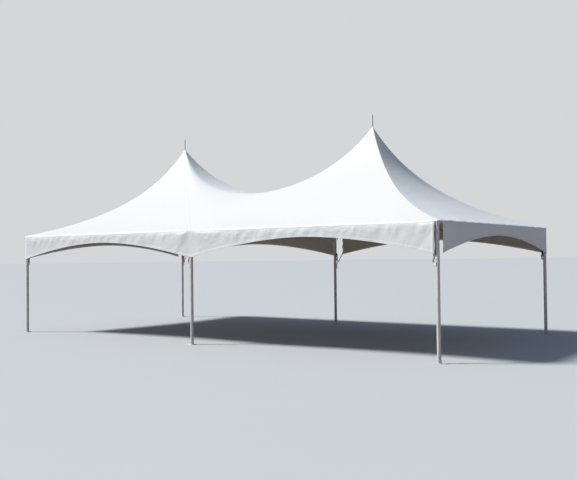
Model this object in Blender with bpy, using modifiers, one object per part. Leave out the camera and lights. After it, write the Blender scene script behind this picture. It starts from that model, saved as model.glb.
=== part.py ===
"""Two-peak marquee: a 20 by 40 foot frame tent, in metres, +Z up.

The origin is on the ground in the middle of the plan. X runs along the length, and the front
long side faces -Y. Six legs carry an eave frame; in each bay a mast stands on crossed cables
and pushes the sheet up into a peak, and an arched valance hangs from the eaves.
"""
import math

import bmesh
import bpy
from mathutils import Matrix, Vector

# Plan and heights
LENGTH = 12.192              # leg axis to leg axis, two bays
DEPTH = 6.096                # leg axis to leg axis across
EAVE_Z = 2.616               # top of the sheet along the eaves
PEAK_Z = 5.05                # where the sheet's slopes meet at each mast
SADDLE_Z = 3.60              # the sheet's low point between the peaks
SPIKE_RISE = 0.29            # mast pin above the peak
CLEARANCE = 0.0003           # gap between touching pieces

# Form of the sheet
ROOF_THICKNESS = 0.008       # measured straight down
STEEPNESS = 1.8              # how much steeper the slopes are at the peak than at the eaves
SADDLE_SOFTNESS = 0.5        # how broadly the side slopes run into the saddle
SEAM_GAP = 0.0004            # between neighbouring panels of the sheet
PEAK_OPENING = 0.05          # half the width of the square hole that the peak cap closes
CAP_RIM = 0.006              # of the peak cap, round the pin at its tip
PANEL_CELLS = 14
SADDLE_CELLS_ALONG = 28
SADDLE_CELLS_ACROSS = 12

# Valance
VALANCE_THICKNESS = 0.004
VALANCE_AT_LEGS = 0.64       # drop below the eaves beside a leg
VALANCE_MID_BAY = 0.24       # drop in the middle of a bay
VALANCE_ARCH = 1.8           # exponent of the arch
VALANCE_CELLS = 36
CORNER_SLIT_FRONT = 0.04     # from the front slit corner's leg axis to the long side's valance
CORNER_SLIT_BACK = 0.14      # the same at the back slit corner
CORNER_SLIT_END = 0.12       # from a slit corner's leg axis to the end's valance
MIDDLE_SLIT_RIGHT = 0.22     # from the back middle leg's axis to the valance on its right
MIDDLE_SLIT_LEFT = 0.04

# Tubes
LEG_DIAMETER = 0.0762
LEG_WALL = 0.0032
EAVE_DIAMETER = 0.0635
EAVE_WALL = 0.0029
MAST_DIAMETER = 0.0508
MAST_WALL = 0.0032
ROUND_SIDES = 24

# Feet
PLATE_SIDE = 0.152
PLATE_THICKNESS = 0.008
STUB_HEIGHT = 0.09
STUB_WALL = 0.004
STAKE_EAR_REACH = 0.135      # leg axis to the stake hole
STAKE_EAR_WIDTH = 0.060
STAKE_HOLE = 0.026
EYE_RADIUS = 0.030           # of the upright ring, to the middle of its bar
EYE_BAR = 0.010
EYE_REACH = 0.078            # leg axis to the ring's middle
EYE_SUNK = 0.003             # depth of the ring's weld into the plate
EYE_BAR_SIDES = 8

# Corner and side fittings
HUB_DROP = 0.06              # hub below the eave tubes, where the cable lugs are
SPIGOT_LENGTH = 0.11
LUG_LENGTH = 0.075           # beyond the hub's side
LUG_HEIGHT = 0.05
LUG_THICKNESS = 0.008
LUG_HOLE = 0.014
LUG_HOLE_EDGE = 0.020        # middle of the hole to the lug's end

# Masts and their cables
CROSSING_Z = 2.44            # underside of the cup that a mast stands in
CUP_DIAMETER = 0.11
CUP_HEIGHT = 0.05
CUP_FLOOR = 0.016
CABLE_DIAMETER = 0.010
CABLE_SIDES = 10
PIN_DIAMETER = 0.016
PIN_TAPER = 0.048            # length of the pin's tapered end
PIN_NOSE = 0.008             # length of its blunt point
MAST_PLUG = 0.05             # solid length at the mast's top

# Tension straps beside the legs
STRAP_WIDTH = 0.045
STRAP_THICKNESS = 0.003
STRAP_TOP_BELOW_EAVE = 0.10
STRAP_LENGTH = 0.56
RATCHET_LENGTH = 0.11
RATCHET_WIDTH = 0.060
RATCHET_DEPTH = 0.034

# Worked out from the values above
LEG_RADIUS = LEG_DIAMETER / 2
EAVE_RADIUS = EAVE_DIAMETER / 2
MAST_RADIUS = MAST_DIAMETER / 2
PIN_RADIUS = PIN_DIAMETER / 2
CANOPY_OUT = LEG_RADIUS + CLEARANCE + VALANCE_THICKNESS
HALF_X = LENGTH / 2 + CANOPY_OUT
HALF_Y = DEPTH / 2 + CANOPY_OUT
PEAK_X = LENGTH / 4
RISE = PEAK_Z - EAVE_Z

# name: the leg axis in half lengths and half depths, then the X sides of its stake ear and its strap
LEGS = {
    "front_right": (1, -1, 1, -1),
    "front_middle": (0, -1, -1, -1),
    "front_left": (-1, -1, -1, 1),
    "back_right": (1, 1, 1, -1),
    "back_middle": (0, 1, -1, 1),
    "back_left": (-1, 1, -1, 1),
}

ALUMINIUM = ((0.56, 0.57, 0.57), 0.38, 1.0)
GALVANISED = ((0.42, 0.43, 0.43), 0.45, 1.0)
WHITE_VINYL = ((0.86, 0.87, 0.88), 0.40, 0.0)
STEEL_CABLE = ((0.30, 0.31, 0.32), 0.40, 1.0)
WEBBING = ((0.72, 0.72, 0.70), 0.85, 0.0)


def empty_scene():
    """Removes the objects that the file opened with."""
    for old in list(bpy.data.objects):
        bpy.data.objects.remove(old, do_unlink=True)


def new_collection(name):
    collection = bpy.data.collections.new(name)
    bpy.context.scene.collection.children.link(collection)
    return collection


def finish_of(name, finish):
    """A plain Principled material in one colour."""
    colour, roughness, metallic = finish
    material = bpy.data.materials.new(name + "_finish")
    material.use_nodes = True
    shader = material.node_tree.nodes["Principled BSDF"]
    shader.inputs["Base Color"].default_value = (*colour, 1)
    shader.inputs["Roughness"].default_value = roughness
    shader.inputs["Metallic"].default_value = metallic
    return material


def add_piece(name, mesh, finish, place=None):
    piece = bpy.data.objects.new(name, mesh)
    mesh.materials.append(finish_of(name, finish))
    tent.objects.link(piece)
    if place is not None:
        piece.matrix_world = place
    return piece


def add_tool(name, mesh, place=None):
    """A solid that only cuts or joins: it isn't part of the tent."""
    tool = bpy.data.objects.new(name, mesh)
    tools.objects.link(tool)
    tool.hide_render = True
    tool.display_type = "WIRE"
    if place is not None:
        tool.matrix_world = place
    return tool


def combine(piece, tool, operation):
    modifier = piece.modifiers.new(operation.lower() + "_" + tool.name, "BOOLEAN")
    modifier.operation = operation
    modifier.object = tool


def box_mesh(name, low, high):
    mesh = bpy.data.meshes.new(name)
    shape = bmesh.new()
    low, high = Vector(low), Vector(high)
    size = high - low
    place = Matrix.Translation((low + high) / 2) @ Matrix.Diagonal((*size, 1))
    bmesh.ops.create_cube(shape, size=1, matrix=place)
    shape.to_mesh(mesh)
    shape.free()
    return mesh


def rod_mesh(name, radius, length, sides=ROUND_SIDES, top_radius=None):
    """A round bar, or a taper, standing on the origin."""
    mesh = bpy.data.meshes.new(name)
    shape = bmesh.new()
    bmesh.ops.create_cone(shape, cap_ends=True, segments=sides, radius1=radius,
                          radius2=radius if top_radius is None else top_radius, depth=length,
                          matrix=Matrix.Translation((0, 0, length / 2)))
    shape.to_mesh(mesh)
    shape.free()
    return mesh


def turned(piece):
    """Turns a closed profile, drawn at +X down its outer side, about Z."""
    screw = piece.modifiers.new("turn", "SCREW")
    screw.axis = "Z"
    screw.steps = screw.render_steps = ROUND_SIDES
    screw.use_merge_vertices = True
    screw.merge_threshold = 0.00001


def profile_mesh(name, points, closed=True):
    mesh = bpy.data.meshes.new(name)
    edges = [(i, i + 1) for i in range(len(points) - 1)]
    if closed:
        edges.append((len(points) - 1, 0))
    mesh.from_pydata([(x, 0, z) for x, z in points], edges, [])
    return mesh


def tube_profile(name, radius, wall, length):
    bore = radius - wall
    return profile_mesh(name, [(radius, length), (radius, 0), (bore, 0), (bore, length)])


def aim(start, end):
    """The place of a piece that stands on start and runs towards end."""
    start, end = Vector(start), Vector(end)
    return Matrix.Translation(start) @ (end - start).to_track_quat("Z", "Y").to_matrix().to_4x4()


def slope_share(r):
    """Height share of a slope: 1 at the peak (r = 0), 0 at the eaves (r = 1), hollow between."""
    return (1 - r) / (1 + STEEPNESS * r)


def soft_min(a, b, width):
    """The lower of two heights, rounded where they come within width of each other."""
    if width <= 0:
        return min(a, b)
    near = max(0.0, 1 - abs(a - b) / width)
    return min(a, b) - width / 4 * near * near


def roof_z(x, y):
    """Top of the sheet over a point of the plan."""
    side = EAVE_Z + RISE * slope_share(min(1, abs(y) / HALF_Y))
    if abs(x) >= PEAK_X:
        end = EAVE_Z + RISE * slope_share(min(1, (abs(x) - PEAK_X) / (HALF_X - PEAK_X)))
        return min(side, end)
    towards_middle = 1 - abs(x) / PEAK_X
    valley = SADDLE_Z + (PEAK_Z - SADDLE_Z) * (1 - towards_middle) ** 2 / (1 + towards_middle)
    return soft_min(side, valley, SADDLE_SOFTNESS * (1 - (x / PEAK_X) ** 2))


def sheet_mesh(name, columns, rows, plan_point):
    """A sheet over a grid: plan_point takes two shares from 0 to 1 and gives a point of the plan."""
    mesh = bpy.data.meshes.new(name)
    shape = bmesh.new()
    bmesh.ops.create_grid(shape, x_segments=columns, y_segments=rows, size=0.5)
    for vert in shape.verts:
        x, y = plan_point(vert.co.x + 0.5, vert.co.y + 0.5)
        vert.co = (x, y, roof_z(x, y))
    grown = bmesh.ops.extrude_face_region(shape, geom=shape.faces[:])
    lower = [item for item in grown["geom"] if isinstance(item, bmesh.types.BMVert)]
    bmesh.ops.translate(shape, verts=lower, vec=(0, 0, -ROOF_THICKNESS))
    bmesh.ops.recalc_face_normals(shape, faces=shape.faces[:])
    shape.to_mesh(mesh)
    shape.free()
    return mesh


def roof_panel(name, peak_x, corner_a, corner_b):
    """One gore of a peak: the triangle between the peak and two points of the eaves."""
    peak = Vector((peak_x, 0))
    arms = (Vector(corner_a) - peak, Vector(corner_b) - peak)
    across = (arms[1] - arms[0]).normalized()
    hole = PEAK_OPENING / HALF_Y

    def plan_point(share_across, share_down):
        r = hole + (1 - hole) * share_down
        point = peak + arms[0].lerp(arms[1], share_across) * r
        return point + across * SEAM_GAP * (1 - 2 * share_across)

    add_piece(name, sheet_mesh(name, PANEL_CELLS, PANEL_CELLS, plan_point), WHITE_VINYL)


def roof_saddle():
    """The panel that runs from peak to peak, widest between the middle legs."""

    def plan_point(share_along, share_across):
        x = (2 * share_along - 1) * (PEAK_X - PEAK_OPENING)
        half_width = HALF_Y * (1 - abs(x) / PEAK_X) - SEAM_GAP
        return x, (2 * share_across - 1) * half_width

    sheet = sheet_mesh("roof_saddle", SADDLE_CELLS_ALONG, SADDLE_CELLS_ACROSS, plan_point)
    add_piece("roof_saddle", sheet, WHITE_VINYL)


def roof():
    middle = SEAM_GAP / 2
    for side, label in ((-1, "front"), (1, "back")):
        roof_panel("roof_" + label + "_right", PEAK_X, (middle, side * HALF_Y), (HALF_X, side * HALF_Y))
        roof_panel("roof_" + label + "_left", -PEAK_X, (-HALF_X, side * HALF_Y), (-middle, side * HALF_Y))
    roof_panel("roof_end_right", PEAK_X, (HALF_X, -HALF_Y), (HALF_X, HALF_Y))
    roof_panel("roof_end_left", -PEAK_X, (-HALF_X, HALF_Y), (-HALF_X, -HALF_Y))
    roof_saddle()


def peak_cap(label, peak_x):
    """The square cone that closes the sheet round the mast's pin."""
    half = PEAK_OPENING - SEAM_GAP
    base_z = roof_z(PEAK_X + PEAK_OPENING, 0) - ROOF_THICKNESS
    height = PEAK_Z - base_z
    name = "peak_cap_" + label
    tip = PIN_RADIUS + CAP_RIM
    cone = rod_mesh(name, half * math.sqrt(2), height, 4, tip * math.sqrt(2))
    square_on = Matrix.Rotation(math.pi / 4, 4, "Z")
    cap = add_piece(name, cone, WHITE_VINYL, Matrix.Translation((peak_x, 0, base_z)) @ square_on)
    hole = rod_mesh("pin_hole_" + label, PIN_RADIUS + CLEARANCE, 3 * height)
    place = Matrix.Translation((peak_x, 0, base_z - height))
    combine(cap, add_tool("pin_hole_" + label, hole, place), "DIFFERENCE")


def valance(name, start, end, start_gap, end_gap, outward):
    """One bay's valance: an arched strip between two points of the eave line."""
    start, end, outward = Vector(start), Vector(end), Vector(outward)
    along = (end - start).normalized()
    bay = (end - start).length
    top_z = under_edge_z()
    mesh = bpy.data.meshes.new(name)
    shape = bmesh.new()
    bmesh.ops.create_grid(shape, x_segments=VALANCE_CELLS, y_segments=1, size=0.5)
    for vert in shape.verts:
        distance = start_gap + (bay - start_gap - end_gap) * (vert.co.x + 0.5)
        off_middle = abs(2 * distance / bay - 1)
        drop = VALANCE_MID_BAY + (VALANCE_AT_LEGS - VALANCE_MID_BAY) * off_middle ** VALANCE_ARCH
        point = start + along * distance
        z = top_z if vert.co.y > 0 else EAVE_Z - drop
        vert.co = (point.x, point.y, z)
    grown = bmesh.ops.extrude_face_region(shape, geom=shape.faces[:])
    inner = [item for item in grown["geom"] if isinstance(item, bmesh.types.BMVert)]
    bmesh.ops.translate(shape, verts=inner, vec=(*(-outward * VALANCE_THICKNESS), 0))
    bmesh.ops.recalc_face_normals(shape, faces=shape.faces[:])
    shape.to_mesh(mesh)
    shape.free()
    add_piece(name, mesh, WHITE_VINYL)


def valances():
    """Closed round two corners, slit at the other two and at the back middle leg."""
    seam = SEAM_GAP / 2
    closed_corner = VALANCE_THICKNESS + SEAM_GAP
    slit_front = CANOPY_OUT + CORNER_SLIT_FRONT
    slit_back = CANOPY_OUT + CORNER_SLIT_BACK
    slit_end = CANOPY_OUT + CORNER_SLIT_END
    valance("valance_front_right", (0, -HALF_Y), (HALF_X, -HALF_Y), seam, slit_front, (0, -1))
    valance("valance_front_left", (-HALF_X, -HALF_Y), (0, -HALF_Y), 0, seam, (0, -1))
    valance("valance_end_right", (HALF_X, -HALF_Y), (HALF_X, HALF_Y), slit_end, closed_corner, (1, 0))
    valance("valance_back_right", (HALF_X, HALF_Y), (0, HALF_Y), 0, MIDDLE_SLIT_RIGHT, (0, 1))
    valance("valance_back_left", (0, HALF_Y), (-HALF_X, HALF_Y), MIDDLE_SLIT_LEFT, slit_back, (0, 1))
    valance("valance_end_left", (-HALF_X, HALF_Y), (-HALF_X, -HALF_Y), slit_end, closed_corner, (-1, 0))


def eave_axis_z():
    """Height of the eave tubes' axes: they bear on the underside of the sheet's slope."""
    step = EAVE_RADIUS / 2
    near = roof_z(0, DEPTH / 2 + step)
    far = roof_z(0, DEPTH / 2 - step)
    slope = math.hypot(1, (far - near) / (2 * step))
    return roof_z(0, DEPTH / 2) - ROOF_THICKNESS - (EAVE_RADIUS + CLEARANCE) * slope


def leg_top_z():
    return eave_axis_z() - EAVE_RADIUS - HUB_DROP


def under_edge_z():
    """Just under the sheet along its edge, where hubs and valances end."""
    return EAVE_Z - ROOF_THICKNESS - CLEARANCE


def leg(label, x, y):
    name = "leg_" + label
    bottom = PLATE_THICKNESS + CLEARANCE
    post = add_piece(name, tube_profile(name, LEG_RADIUS, LEG_WALL, leg_top_z() - bottom), ALUMINIUM,
                     Matrix.Translation((x, y, bottom)))
    turned(post)


def foot(label, x, y, ear_direction):
    """Square base plate with a stub inside the leg, a welded ring and a holed ear for the stake."""
    name = "foot_" + label
    half = PLATE_SIDE / 2
    place = Matrix.Translation((x, y, 0))
    plate_box = box_mesh(name, (-half, -half, 0), (half, half, PLATE_THICKNESS))
    plate = add_piece(name, plate_box, GALVANISED, place)
    reach = STAKE_EAR_REACH * ear_direction
    ear_low = min(0, reach)
    ear = box_mesh("ear_" + label, (ear_low, -STAKE_EAR_WIDTH / 2, 0),
                   (ear_low + STAKE_EAR_REACH, STAKE_EAR_WIDTH / 2, PLATE_THICKNESS))
    combine(plate, add_tool("ear_" + label, ear, place), "UNION")
    nose = rod_mesh("ear_nose_" + label, STAKE_EAR_WIDTH / 2, PLATE_THICKNESS)
    combine(plate, add_tool("ear_nose_" + label, nose, place @ Matrix.Translation((reach, 0, 0))), "UNION")
    hole = rod_mesh("stake_hole_" + label, STAKE_HOLE / 2, 3 * PLATE_THICKNESS)
    hole_place = place @ Matrix.Translation((reach, 0, -PLATE_THICKNESS))
    combine(plate, add_tool("stake_hole_" + label, hole, hole_place), "DIFFERENCE")
    stub_radius = LEG_RADIUS - LEG_WALL - CLEARANCE
    sunk = PLATE_THICKNESS / 2
    stub = tube_profile("stub_" + label, stub_radius, STUB_WALL, STUB_HEIGHT - sunk)
    stub_tool = add_tool("stub_" + label, stub, place @ Matrix.Translation((0, 0, sunk)))
    turned(stub_tool)
    combine(plate, stub_tool, "UNION")
    eye = add_tool("eye_" + label, ring_profile("eye_" + label), place @ eye_place(ear_direction))
    turned(eye)
    combine(plate, eye, "UNION")


def ring_profile(name):
    """The round section of the foot's ring."""
    bar = EYE_BAR / 2
    points = []
    for number in range(EYE_BAR_SIDES):
        turn = -2 * math.pi * number / EYE_BAR_SIDES
        points.append((EYE_RADIUS + bar * math.cos(turn), bar * math.sin(turn)))
    return profile_mesh(name, points)


def eye_place(ear_direction):
    """The ring stands on edge on the plate, between the leg and the stake hole."""
    middle_z = PLATE_THICKNESS - EYE_SUNK + EYE_BAR / 2 + EYE_RADIUS
    upright = Matrix.Rotation(math.pi / 2, 4, "X")
    return Matrix.Translation((EYE_REACH * ear_direction, 0, middle_z)) @ upright


def fitting(label, x, y, arms, lug_towards):
    """Hub on a leg's top: a spigot down the leg, one in each tube that meets there, and cable lugs."""
    name = "fitting_" + label
    axis_z = eave_axis_z()
    low = leg_top_z() + CLEARANCE
    high = under_edge_z()
    hub = add_piece(name, rod_mesh(name, LEG_RADIUS, high - low), GALVANISED, Matrix.Translation((x, y, low)))
    spigot_radius = LEG_RADIUS - LEG_WALL - CLEARANCE
    overlap = (high - low) / 2
    down = rod_mesh("leg_spigot_" + label, spigot_radius, SPIGOT_LENGTH + overlap)
    down_tool = add_tool("leg_spigot_" + label, down, Matrix.Translation((x, y, low - SPIGOT_LENGTH)))
    combine(hub, down_tool, "UNION")
    arm_radius = EAVE_RADIUS - EAVE_WALL - CLEARANCE
    for number, (dx, dy) in enumerate(arms):
        arm_name = "tube_spigot_%s_%d" % (label, number)
        rod = rod_mesh(arm_name, arm_radius, LEG_RADIUS + SPIGOT_LENGTH)
        arm = add_tool(arm_name, rod, aim((x, y, axis_z), (x + dx, y + dy, axis_z)))
        combine(hub, arm, "UNION")
    for number, (tx, ty) in enumerate(lug_towards):
        lug_name = "lug_%s_%d" % (label, number)
        place = lug_place(x, y, tx, ty)
        plate = box_mesh(lug_name, (0, -LUG_THICKNESS / 2, -LUG_HEIGHT / 2),
                         (LEG_RADIUS + LUG_LENGTH, LUG_THICKNESS / 2, LUG_HEIGHT / 2))
        combine(hub, add_tool(lug_name, plate, place), "UNION")
        hole_name = "lug_hole_%s_%d" % (label, number)
        hole = rod_mesh(hole_name, LUG_HOLE / 2, 3 * LUG_THICKNESS)
        middle = Matrix.Translation((LEG_RADIUS + LUG_LENGTH - LUG_HOLE_EDGE, 3 * LUG_THICKNESS / 2, 0))
        across = Matrix.Rotation(math.pi / 2, 4, "X")
        combine(hub, add_tool(hole_name, hole, place @ middle @ across), "DIFFERENCE")


def lug_place(x, y, tx, ty):
    """A lug's place: at the hub, on the leg's top, turned towards a mast."""
    turn = math.atan2(ty - y, tx - x)
    return Matrix.Translation((x, y, lug_z())) @ Matrix.Rotation(turn, 4, "Z")


def lug_z():
    return leg_top_z() + LUG_HEIGHT / 2 + CLEARANCE


def eave_tubes():
    """Four tubes along the long sides, one at each end and one across the middle."""
    z = eave_axis_z()
    x, y = LENGTH / 2, DEPTH / 2
    runs = {
        "eave_tube_front_right": ((0, -y), (x, -y)),
        "eave_tube_front_left": ((-x, -y), (0, -y)),
        "eave_tube_back_right": ((0, y), (x, y)),
        "eave_tube_back_left": ((-x, y), (0, y)),
        "eave_tube_end_right": ((x, -y), (x, y)),
        "eave_tube_end_left": ((-x, -y), (-x, y)),
        "cross_tube_middle": ((0, -y), (0, y)),
    }
    inset = LEG_RADIUS + CLEARANCE
    for name, (start, end) in runs.items():
        start, end = Vector((*start, z)), Vector((*end, z))
        along = (end - start).normalized()
        length = (end - start).length - 2 * inset
        tube = add_piece(name, tube_profile(name, EAVE_RADIUS, EAVE_WALL, length), ALUMINIUM,
                         aim(start + along * inset, end))
        turned(tube)


def mast(label, peak_x):
    """Tube with a solid top that carries the pin; the tube stands in the cables' cup."""
    name = "mast_" + label
    bottom = CROSSING_Z + CUP_FLOOR + CLEARANCE
    cap_base = roof_z(PEAK_X + PEAK_OPENING, 0) - ROOF_THICKNESS
    shoulder = cap_base - CLEARANCE - bottom
    tip = PEAK_Z + SPIKE_RISE - bottom
    bore = MAST_RADIUS - MAST_WALL
    outline = [
        (0, tip),
        (PIN_RADIUS / 2, tip - PIN_NOSE),
        (PIN_RADIUS, tip - PIN_TAPER),
        (PIN_RADIUS, shoulder),
        (MAST_RADIUS, shoulder),
        (MAST_RADIUS, 0),
        (bore, 0),
        (bore, shoulder - MAST_PLUG),
        (0, shoulder - MAST_PLUG),
    ]
    post = add_piece(name, profile_mesh(name, outline, closed=False), ALUMINIUM,
                     Matrix.Translation((peak_x, 0, bottom)))
    turned(post)


def mast_cables(label, peak_x, corners):
    """Cup under the mast, and the four cables that hold it from the bay's corners."""
    name = "mast_cables_" + label
    cup_bore = MAST_RADIUS + CLEARANCE
    outer = CUP_DIAMETER / 2
    outline = [
        (0, CUP_FLOOR),
        (cup_bore, CUP_FLOOR),
        (cup_bore, CUP_HEIGHT),
        (outer, CUP_HEIGHT),
        (outer, 0),
        (0, 0),
    ]
    cup = add_piece(name, profile_mesh(name, outline, closed=False), STEEL_CABLE,
                    Matrix.Translation((peak_x, 0, CROSSING_Z)))
    turned(cup)
    for number, (x, y) in enumerate(corners):
        from_cup = Vector((x - peak_x, y, 0)).normalized()
        inner = Vector((peak_x, 0, CROSSING_Z + CUP_HEIGHT / 2)) + from_cup * (outer + cup_bore) / 2
        lug_end = Vector((x, y, lug_z())) - from_cup * (LEG_RADIUS + LUG_LENGTH + CLEARANCE)
        cable_name = "cable_%s_%d" % (label, number)
        cable = rod_mesh(cable_name, CABLE_DIAMETER / 2, (lug_end - inner).length, CABLE_SIDES)
        combine(cup, add_tool(cable_name, cable, aim(inner, lug_end)), "UNION")


def tension_strap(label, x, y, side):
    """Webbing beside a leg that pulls the sheet's corner down to a ratchet on the leg."""
    name = "tension_strap_" + label
    face = LEG_RADIUS + CLEARANCE
    top = EAVE_Z - STRAP_TOP_BELOW_EAVE
    bottom = top - STRAP_LENGTH
    place = Matrix.Translation((x, y, 0)) @ Matrix.Rotation(0 if side > 0 else math.pi, 4, "Z")
    body = box_mesh(name, (face, -RATCHET_WIDTH / 2, bottom),
                    (face + RATCHET_DEPTH, RATCHET_WIDTH / 2, bottom + RATCHET_LENGTH))
    ratchet = add_piece(name, body, WEBBING, place)
    web_low = face + STRAP_THICKNESS
    web = box_mesh("web_" + label, (web_low, -STRAP_WIDTH / 2, bottom + RATCHET_LENGTH / 2),
                   (web_low + STRAP_THICKNESS, STRAP_WIDTH / 2, top))
    combine(ratchet, add_tool("web_" + label, web, place), "UNION")


def frame():
    """Legs with their feet, hubs and straps, then the tubes between the hubs."""
    for label, (sx, sy, ear_side, strap_side) in LEGS.items():
        x, y = sx * LENGTH / 2, sy * DEPTH / 2
        foot(label, x, y, ear_side)
        leg(label, x, y)
        along = [(-sx, 0)] if sx else [(1, 0), (-1, 0)]
        masts = [(sx * PEAK_X, 0)] if sx else [(PEAK_X, 0), (-PEAK_X, 0)]
        fitting(label, x, y, along + [(0, -sy)], masts)
        tension_strap(label, x, y, strap_side)
    eave_tubes()


def masts():
    for side, label in ((1, "right"), (-1, "left")):
        peak_x = side * PEAK_X
        corners = [(x, y) for x in (0, side * LENGTH / 2) for y in (-DEPTH / 2, DEPTH / 2)]
        mast_cables(label, peak_x, corners)
        mast(label, peak_x)
        peak_cap(label, peak_x)


empty_scene()
tent = new_collection("two_peak_marquee")
tools = new_collection("tools")
frame()
masts()
roof()
valances()
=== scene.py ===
"""The two-peak marquee as it stands on a pale studio floor, in metres, +Z up."""
import math

import bmesh
import bpy
from mathutils import Matrix, Vector, noise


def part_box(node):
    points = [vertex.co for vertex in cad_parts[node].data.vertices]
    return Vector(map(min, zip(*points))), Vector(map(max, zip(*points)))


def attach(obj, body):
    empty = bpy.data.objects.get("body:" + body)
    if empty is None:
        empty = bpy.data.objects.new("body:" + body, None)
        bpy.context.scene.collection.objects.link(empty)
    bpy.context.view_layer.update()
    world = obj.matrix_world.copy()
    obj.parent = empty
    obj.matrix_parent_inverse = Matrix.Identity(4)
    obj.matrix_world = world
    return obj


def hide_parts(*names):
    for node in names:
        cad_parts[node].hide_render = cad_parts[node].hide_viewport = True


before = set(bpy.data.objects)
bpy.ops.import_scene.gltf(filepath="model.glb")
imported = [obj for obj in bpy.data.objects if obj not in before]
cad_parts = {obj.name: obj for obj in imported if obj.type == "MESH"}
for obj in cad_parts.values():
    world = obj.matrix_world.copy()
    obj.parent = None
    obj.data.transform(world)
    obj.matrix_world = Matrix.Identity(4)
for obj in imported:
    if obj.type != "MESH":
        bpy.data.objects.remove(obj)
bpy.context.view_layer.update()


# The studio
# A level pale floor under a pale surround. A broad sun from the left and a little to the front
# lights the roof and the front; the right end stays in the surround's even light.
CAMERA_PLACE = Vector((12.25, -16.20, 1.97))
CAMERA_YAW = math.radians(-35.87)
CAMERA_PITCH = math.radians(1.24)
CAMERA_ROLL = math.radians(-0.63)
FOCAL_SHARE = 781 / 577       # focal length over the picture's width
SENSOR = 36.0
TO_SUN = (-0.56, -0.35, 0.75)
SUN_STRENGTH = 4.5
SUN_COLOUR = (0.975, 0.985, 0.965)
SUN_SPREAD = math.radians(12)
SURROUND = (0.162, 0.212, 0.292)
BACKDROP = (0.66, 0.67, 0.68)
FLOOR_RADIUS = 400.0
FLOOR_COLOUR = (0.50, 0.505, 0.51)
FLOOR_BOUNCE = (0.280, 0.235, 0.210)  # what it throws back up
BRIGHTEST = 1.5               # the light that the film shows as white
SHOULDER = [(0.2, 0.2), (0.4, 0.4), (0.6, 0.6), (0.75, 0.75), (0.9, 0.88), (1.1, 0.965)]


class Wire:
    """A value, colour or vector on its way through a material's nodes."""

    def __init__(self, tree, socket=None):
        self.tree = tree
        self.socket = socket

    def node(self, kind, settings=None, sockets=None, output=0):
        """Adds a node: first its settings, then the values and wires of its sockets."""
        made = self.tree.nodes.new("ShaderNode" + kind)
        for name, value in (settings or {}).items():
            setattr(made, name, value)
        for name, value in (sockets or {}).items():
            if isinstance(value, Wire):
                self.tree.links.new(value.socket, made.inputs[name])
            else:
                made.inputs[name].default_value = value
        return Wire(self.tree, made.outputs[output])

    def maths(self, operation, *values):
        return self.node("Math", {"operation": operation}, dict(enumerate(values)))

    def __add__(self, other):
        return self.maths("ADD", self, other)

    def __sub__(self, other):
        return self.maths("SUBTRACT", self, other)

    def __rsub__(self, other):
        return self.maths("SUBTRACT", other, self)

    def __mul__(self, other):
        return self.maths("MULTIPLY", self, other)

    def __abs__(self):
        return self.maths("ABSOLUTE", self)

    __radd__ = __add__
    __rmul__ = __mul__

    def wave(self):
        return self.maths("SINE", self)

    def between(self, low, high):
        """0 below low and 1 above high, eased between; the other way round where low is the greater."""
        ends = {"From Min": low, "From Max": high}
        return self.node("MapRange", {"interpolation_type": "SMOOTHSTEP"}, {"Value": self, **ends})

    def blend(self, colour_at_0, colour_at_1):
        """The colour that this mask picks."""
        ends = {6: as_colour(colour_at_0), 7: as_colour(colour_at_1)}
        return self.node("Mix", {"data_type": "RGBA"}, {0: self, **ends}, output=2)

    def axis(self, letter):
        return self.node("SeparateXYZ", {}, {0: self}, output="XYZ".index(letter))

    def scaled(self, x, y, z):
        return self.node("VectorMath", {"operation": "MULTIPLY"}, {0: self, 1: (x, y, z)})

    def noise(self, scale, detail=2.0, roughness=0.5):
        sockets = {"Vector": self, "Scale": scale, "Detail": detail, "Roughness": roughness}
        return self.node("TexNoise", {}, sockets)

    def bump(self, strength, distance, under=None):
        """A normal raised by this height."""
        sockets = {"Strength": strength, "Distance": distance, "Height": self}
        if under is not None:
            sockets["Normal"] = under
        return self.node("Bump", {}, sockets)

    def measured(self, name):
        """What the mesh keeps at each of its points under this name."""
        return self.node("Attribute", {"attribute_name": name}, output=2)

    def pair(self, other):
        return self.node("CombineXYZ", {}, {0: self, 1: other})


def as_colour(value):
    return value if isinstance(value, Wire) else (*value, 1)


def toned(colour, share):
    """A colour made darker, or paler by a share over 1."""
    return tuple(part * share for part in colour)


def new_finish(name):
    """A material, and a wire to start its nodes from: the point in the tent's own frame."""
    finish = bpy.data.materials.new(name)
    finish.use_nodes = True
    start = Wire(finish.node_tree)
    return finish, start.node("TexCoord", output=3)


def apply(finish, colour, roughness, normal, metallic=0.0):
    """Joins the worked-out surface to the material's shader."""
    shader = finish.node_tree.nodes["Principled BSDF"]
    for name, wire in (("Base Color", colour), ("Roughness", roughness), ("Normal", normal)):
        finish.node_tree.links.new(wire.socket, shader.inputs[name])
    shader.inputs["Metallic"].default_value = metallic
    return finish


def stand(name, data):
    """Puts a mesh, a lamp or a camera into the scene."""
    made = bpy.data.objects.new(name, data)
    bpy.context.collection.objects.link(made)
    return made


def floor_finish():
    finish, place = new_finish("studio_floor")
    grain = place.noise(90.0)
    pale = place.noise(0.35, 3.0).blend(FLOOR_COLOUR, toned(FLOOR_COLOUR, 1.03))
    colour = place.node("LightPath").blend(FLOOR_BOUNCE, pale)
    return apply(finish, colour, 0.75 + 0.1 * grain, grain.bump(0.1, 0.002))


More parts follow.
